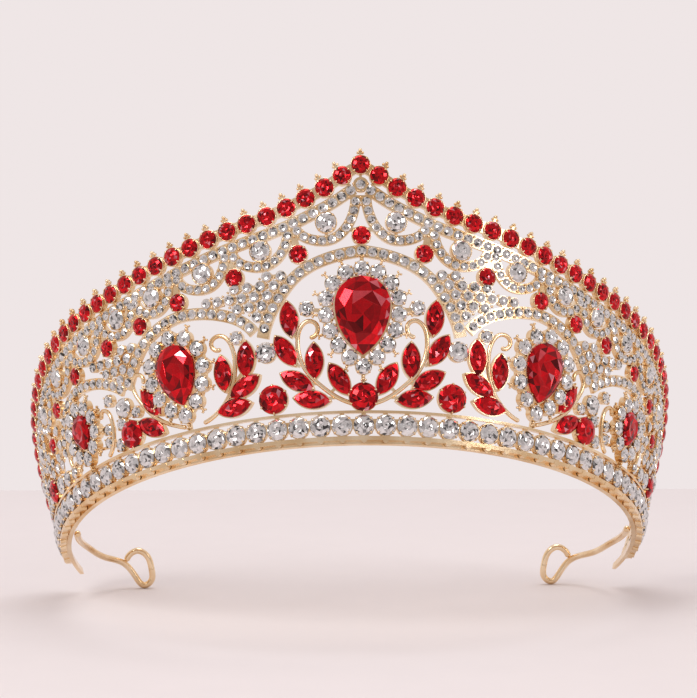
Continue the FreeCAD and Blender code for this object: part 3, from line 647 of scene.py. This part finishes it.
def tips(node, beads, middle):
    """A forked tip on each stone of a node, pointing away from the middle's stone or up from the row."""
    parts = []
    for spot in spots(node):
        if middle:
            centre = min((pear.at for pear in spots(middle)), key=lambda at: (at - spot.at).length)
            away = spot.turn.transposed() @ (spot.at - centre)
        else:
            near = sorted(spots(node), key=lambda other: (other.at - spot.at).length)[1:3]
            run = spot.turn.transposed() @ (near[1].at - near[0].at)
            if (near[0].at - spot.at).dot(near[1].at - spot.at) > 0:
                run = spot.turn.transposed() @ (near[0].at - spot.at)
            away = Vector((-run.y, run.x, 0))
            away *= 1 if away.y > 0 else -1
        away = Vector((away.x, away.y, 0)).normalized()
        across = Vector((away.y, -away.x, 0))
        for side, beyond, size in beads:
            at = (across * side + away * beyond) * MM
            parts.append(set_on(TEMPLATES["bead"], placed(spot, at.x, at.y, TIP_DEPTH, 0, size * MM)))
    finished(joined(node.replace("crystals", "tips"), shown(parts)), "gilt_alloy")


class CROWN_OT_tips(bpy.types.Operator):
    """Set the little forked tips outside the border's stones and the halos' stones"""

    bl_idname = "crown.tips"
    bl_label = "Forked tips"

    def execute(self, context):
        tips("border_crystals", BORDER_TIP, None)
        for halo, pear in zip(HALOS, PEARS):
            tips(halo, HALO_TIP, pear)
        return {"FINISHED"}


class CROWN_OT_castings(bpy.types.Operator):
    """Give the castings, the strip and the wires their plating"""

    bl_idname = "crown.castings"
    bl_label = "Castings and wires"

    def execute(self, context):
        for name, node in frame["nodes"].items():
            if "crystal" in name:
                continue
            finish = "wire" if name in WIRES or "scroll" in name else "cast"
            if name == "headband_strip":
                finish = "strip"
            node.data.materials.clear()
            node.data.materials.append(MATERIALS[finish])
        return {"FINISHED"}


# ---------------------------------------------------------------- stage
FLOOR_BACK = 210 * MM  # far edge of the floor
FLOOR_SIDE = 900 * MM
FLOOR_FRONT = 1200 * MM
ROOM_BEHIND = -0.7  # the world is a dim room behind the camera, by the share of a direction along +Y,
BACKDROP_FROM = 0.35  # and a bright backdrop from here on
BACKDROP_LIGHT = 0.98
CAMERA_AT = Vector((-22.1, -479.6, 92.5)) * MM
CAMERA_TURN = math.radians(-2.46)
CAMERA_DIP = math.radians(-3.98)
CAMERA_ROLL = math.radians(-0.13)


class CROWN_OT_stage(bpy.types.Operator):
    """Lay the floor and backdrop and set the light and the camera"""

    bl_idname = "crown.stage"
    bl_label = "Stage"

    def execute(self, context):
        settings = context.scene.crown_stage
        deselect()
        bpy.ops.mesh.primitive_plane_add(size=1)
        floor = context.object
        floor.name = "floor"
        floor.data.transform(Matrix.Translation((0, (FLOOR_BACK - FLOOR_FRONT) / 2, 0))
                             @ Matrix.Diagonal((2 * FLOOR_SIDE, FLOOR_BACK + FLOOR_FRONT, 1, 1)))
        floor.data.transform(Matrix.Rotation(CAMERA_TURN, 4, "Z"))
        floor.data.materials.append(stage_matte("matte_floor_board", tuple(settings.floor), 12.0, 0.015))
        world = bpy.data.worlds.new("studio")
        world.use_nodes = True
        tree = world.node_tree
        across = add(tree, "ShaderNodeSeparateXYZ", {
            "Vector": add(tree, "ShaderNodeTexCoord").outputs["Generated"]}).outputs["Y"]
        bright = add(tree, "ShaderNodeMapRange", {
            "Value": across, "From Min": ROOM_BEHIND, "From Max": BACKDROP_FROM,
            "To Min": settings.room, "To Max": BACKDROP_LIGHT})
        back = tree.nodes["Background"]
        back.inputs["Color"].default_value = tuple(settings.backdrop)
        tree.links.new(bright.outputs["Result"], back.inputs["Strength"])
        context.scene.world = world
        lights = (("key", (-0.5, -0.55, 0.7), 0.3, 2.7), ("fill", (0.65, -0.5, 0.4), 0.22, 1.2),
                  ("top", (0.05, 0.1, 0.9), 0.4, 1.6))
        for name, at, size, power in lights:
            lamp = bpy.data.lights.new(name, "AREA")
            lamp.size, lamp.energy = size, power
            holder = bpy.data.objects.new(name, lamp)
            holder.location = at
            holder.rotation_euler = (Vector((0, 0, 0.05)) - Vector(at)).to_track_quat("-Z", "Y").to_euler()
            context.scene.collection.objects.link(holder)
        camera = bpy.data.objects.new("camera", bpy.data.cameras.new("camera"))
        camera.data.lens = settings.lens
        camera.data.sensor_width = 36
        camera.location = CAMERA_AT
        camera.rotation_euler = (Matrix.Rotation(CAMERA_TURN, 3, "Z")
                                 @ Matrix.Rotation(math.pi / 2 + CAMERA_DIP, 3, "X")
                                 @ Matrix.Rotation(CAMERA_ROLL, 3, "Z")).to_euler()
        context.scene.collection.objects.link(camera)
        context.scene.camera = camera
        context.scene.view_settings.view_transform = "Standard"
        return {"FINISHED"}


class CROWN_PT_panel(bpy.types.Panel):
    """Lists the crown's settings and steps"""

    bl_idname = "CROWN_PT_panel"
    bl_label = "Crown"
    bl_space_type = "VIEW_3D"
    bl_region_type = "UI"
    bl_category = "Crown"

    def draw(self, context):
        for group in ("crown_stones", "crown_metal", "crown_stage"):
            settings = getattr(context.scene, group)
            for name in settings.__annotations__:
                self.layout.prop(settings, name)
        for step in STEPS:
            self.layout.operator(step.bl_idname)


GROUPS = {"crown_stones": StoneSettings, "crown_metal": MetalSettings, "crown_stage": StageSettings}
STEPS = (CROWN_OT_finishes, CROWN_OT_templates, CROWN_OT_stones, CROWN_OT_beads, CROWN_OT_claws,
         CROWN_OT_tips, CROWN_OT_castings, CROWN_OT_stage)


def register():
    for kind in (*GROUPS.values(), *STEPS, CROWN_PT_panel):
        bpy.utils.register_class(kind)
    for name, kind in GROUPS.items():
        setattr(bpy.types.Scene, name, bpy.props.PointerProperty(type=kind))


def unregister():
    for name in GROUPS:
        delattr(bpy.types.Scene, name)
    for kind in reversed((*GROUPS.values(), *STEPS, CROWN_PT_panel)):
        bpy.utils.unregister_class(kind)


def main():
    register()
    for step in STEPS:
        group, name = step.bl_idname.split(".")
        getattr(getattr(bpy.ops, group), name)()
    for form in TEMPLATES.values():
        bpy.data.objects.remove(form)


if __name__ == "__main__":
    main()
